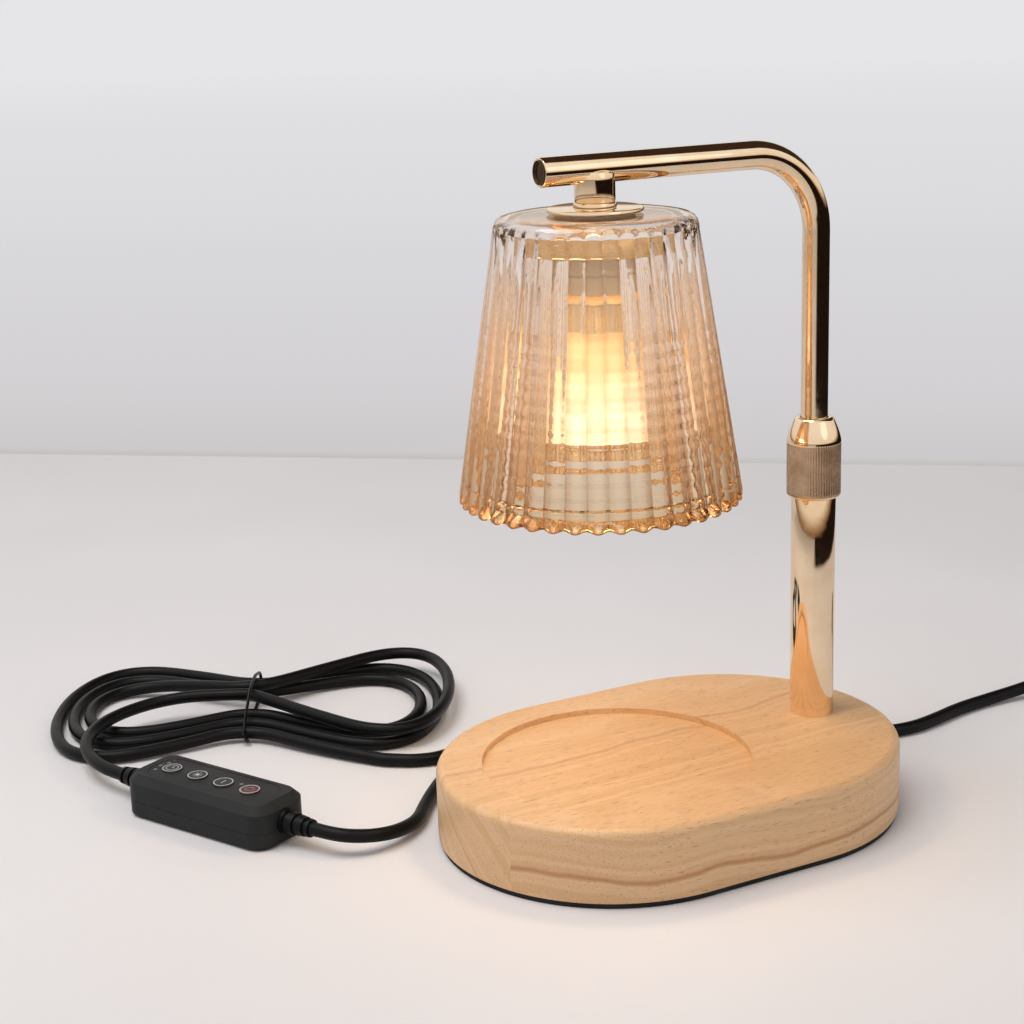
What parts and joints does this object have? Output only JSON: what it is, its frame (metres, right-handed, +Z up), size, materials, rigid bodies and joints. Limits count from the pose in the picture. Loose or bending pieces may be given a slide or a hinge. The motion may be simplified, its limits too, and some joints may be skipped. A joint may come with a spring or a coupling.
{
  "type": "candle warmer lamp",
  "caption": "Table lamp that warms a candle: fluted glass shade on a bent arm, height-adjustable post, round-ended wooden base with a recess, and a cord with an inline switch.",
  "frame": {"origin": "bottom centre of the wooden base, under its foot pad", "axes": "+X along the base from the recess towards the post, +Y towards the back, +Z up"},
  "size_m": [0.5152, 0.3539, 0.2678],
  "materials": {
    "rubberwood": "clear satin lacquer",
    "black_foam": "matte",
    "champagne_gold": "polished champagne gold plating",
    "plated_steel": "zinc plated",
    "acetal": "moulded",
    "silicone": "translucent",
    "amber_glass": "pressed fluted glass with an amber lustre",
    "ceramic": "glazed ceramic",
    "bulb_glass": "pressed glass",
    "cord_pvc": "soft black PVC",
    "switch_plastic": "fine matte",
    "circuit": "laminate",
    "lamp_led": "clear resin",
    "blade_brass": "stamped"
  },
  "bodies": {
    "base": {"button_domes": "circuit", "circuit_board": "circuit", "cord_gland": "cord_pvc", "cord_hank": "cord_pvc", "cord_lamp_to_switch": "cord_pvc", "cord_switch_to_hank": "cord_pvc", "cord_to_plug": "cord_pvc", "foot_pad": "black_foam", "indicator_leds": "lamp_led", "plug_blades": "blade_brass", "plug_body": "cord_pvc", "plug_strain_relief": "cord_pvc", "post_bush": "plated_steel", "post_nut": "plated_steel", "post_stem": "plated_steel", "post_tube": "champagne_gold", "post_washer": "plated_steel", "relief_lamp_side": "cord_pvc", "relief_plug_side": "cord_pvc", "shell_screws": "plated_steel", "switch_bottom_shell": "switch_plastic", "switch_panel": "switch_plastic", "switch_top_shell": "switch_plastic", "terminal_block": "acetal", "twist_tie": "cord_pvc", "wood_base": "rubberwood"},
    "collet": {"split_collet": "acetal"},
    "collet_nut": {"collet_nut": "champagne_gold"},
    "arm": {"arm_tube": "champagne_gold", "arm_end_cap": "champagne_gold", "arm_guide_bush": "acetal", "neck": "champagne_gold", "top_disc": "champagne_gold", "top_gasket": "silicone", "glass_shade": "amber_glass", "holder_cup": "plated_steel", "holder_stem": "plated_steel", "holder_nut": "plated_steel", "lamp_socket": "ceramic", "socket_brackets": "plated_steel", "arm_lead": "cord_pvc"},
    "bulb": {"bulb_neck": "bulb_glass", "bulb_reflector": "bulb_glass", "bulb_capsule": "plated_steel", "bulb_lens": "bulb_glass"},
    "button_timer": {"button_timer": "switch_plastic"},
    "button_brighter": {"button_brighter": "switch_plastic"},
    "button_dimmer": {"button_dimmer": "switch_plastic"},
    "button_power": {"button_power": "switch_plastic"}
  },
  "joints": [
    {"name": "arm_swivel", "type": "hinge", "parent": "base", "child": "collet", "pos_m": [0.07, 0, 0.127], "axis": [0, 0, 1], "range_deg": [-150, 150]},
    {"name": "height_slide", "type": "slide", "parent": "collet", "child": "arm", "axis": [0, 0, 1], "range_m": [-0.028, 0.03]},
    {"name": "collet_nut_turn", "type": "hinge", "parent": "collet", "child": "collet_nut", "pos_m": [0.07, 0, 0.14], "axis": [0, 0, 1], "range_deg": [0, 270]},
    {"name": "bulb_twist", "type": "hinge", "parent": "arm", "child": "bulb", "pos_m": [-0.03, 0, 0.2167], "axis": [0, 0, 1], "range_deg": [0, 30]},
    {"name": "timer_press", "type": "slide", "parent": "base", "child": "button_timer", "axis": [0, 0, -1], "range_m": [0, 0.0005], "stiffness_N_per_m": 300, "springref_m": -0.0005},
    {"name": "brighter_press", "type": "slide", "parent": "base", "child": "button_brighter", "axis": [0, 0, -1], "range_m": [0, 0.0005], "stiffness_N_per_m": 300, "springref_m": -0.0005},
    {"name": "dimmer_press", "type": "slide", "parent": "base", "child": "button_dimmer", "axis": [0, 0, -1], "range_m": [0, 0.0005], "stiffness_N_per_m": 300, "springref_m": -0.0005},
    {"name": "power_press", "type": "slide", "parent": "base", "child": "button_power", "axis": [0, 0, -1], "range_m": [0, 0.0005], "stiffness_N_per_m": 300, "springref_m": -0.0005}
  ]
}
